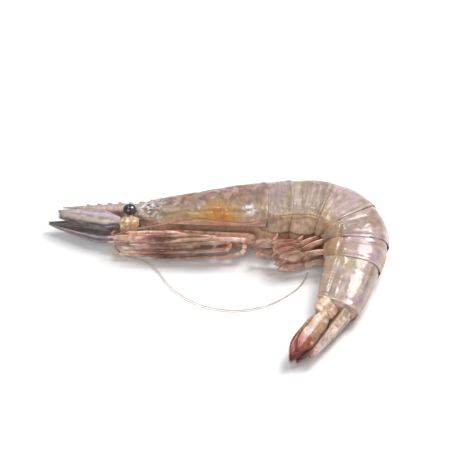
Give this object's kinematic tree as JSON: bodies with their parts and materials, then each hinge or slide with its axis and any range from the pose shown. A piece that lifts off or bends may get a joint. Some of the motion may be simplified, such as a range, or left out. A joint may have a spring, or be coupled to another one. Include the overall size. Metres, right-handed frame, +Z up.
{
  "type": "raw prawn",
  "caption": "Whole raw prawn, head and shell on, lying on its side with its tail curled and its legs folded; food to heap, dish or handle.",
  "frame": {"origin": "under the middle of the whole prawn's box, on the surface it lies on", "axes": "+Z up through the prawn's left flank, which lies uppermost; -X towards the rostrum; +Y towards the arch of its back, with the tail curled towards -Y"},
  "size_m": [0.1018, 0.066, 0.0156],
  "materials": {
    "shell": "wet, half-clear grey-beige shell",
    "limb": "wet, pale salmon pink",
    "tail_blade": "wet, olive to dark red",
    "eye": "glossy black",
    "whisker": "wet, dark pink",
    "belly": "wet, olive brown"
  },
  "bodies": {
    "root": {"abdomen_segment_1": "shell", "abdomen_segment_2": "shell", "abdomen_segment_3": "shell", "abdomen_segment_4": "shell", "abdomen_segment_5": "shell", "abdomen_segment_6": "shell", "antenna_base_left": "limb", "antenna_base_right": "limb", "antenna_whip_left": "whisker", "antenna_whip_right": "whisker", "antennal_scale_left": "shell", "antennal_scale_right": "shell", "antennule_left": "limb", "antennule_right": "limb", "carapace": "shell", "eye_left": "eye", "eye_right": "eye", "eyestalk_left": "limb", "eyestalk_right": "limb", "feeding_leg_left": "limb", "feeding_leg_right": "limb", "swimming_leg_1_left": "limb", "swimming_leg_1_right": "limb", "swimming_leg_2_left": "limb", "swimming_leg_2_right": "limb", "swimming_leg_3_left": "limb", "swimming_leg_3_right": "limb", "swimming_leg_4_left": "limb", "swimming_leg_4_right": "limb", "swimming_leg_5_left": "limb", "swimming_leg_5_right": "limb", "telson": "tail_blade", "thorax_underside": "belly", "uropod_base_left": "shell", "uropod_base_right": "shell", "uropod_inner_left": "tail_blade", "uropod_inner_right": "tail_blade", "uropod_outer_left": "tail_blade", "uropod_outer_right": "tail_blade", "walking_leg_1_left": "limb", "walking_leg_1_right": "limb", "walking_leg_2_left": "limb", "walking_leg_2_right": "limb", "walking_leg_3_left": "limb", "walking_leg_3_right": "limb", "walking_leg_4_left": "limb", "walking_leg_4_right": "limb", "walking_leg_5_left": "limb", "walking_leg_5_right": "limb"}
  },
  "joints": []
}
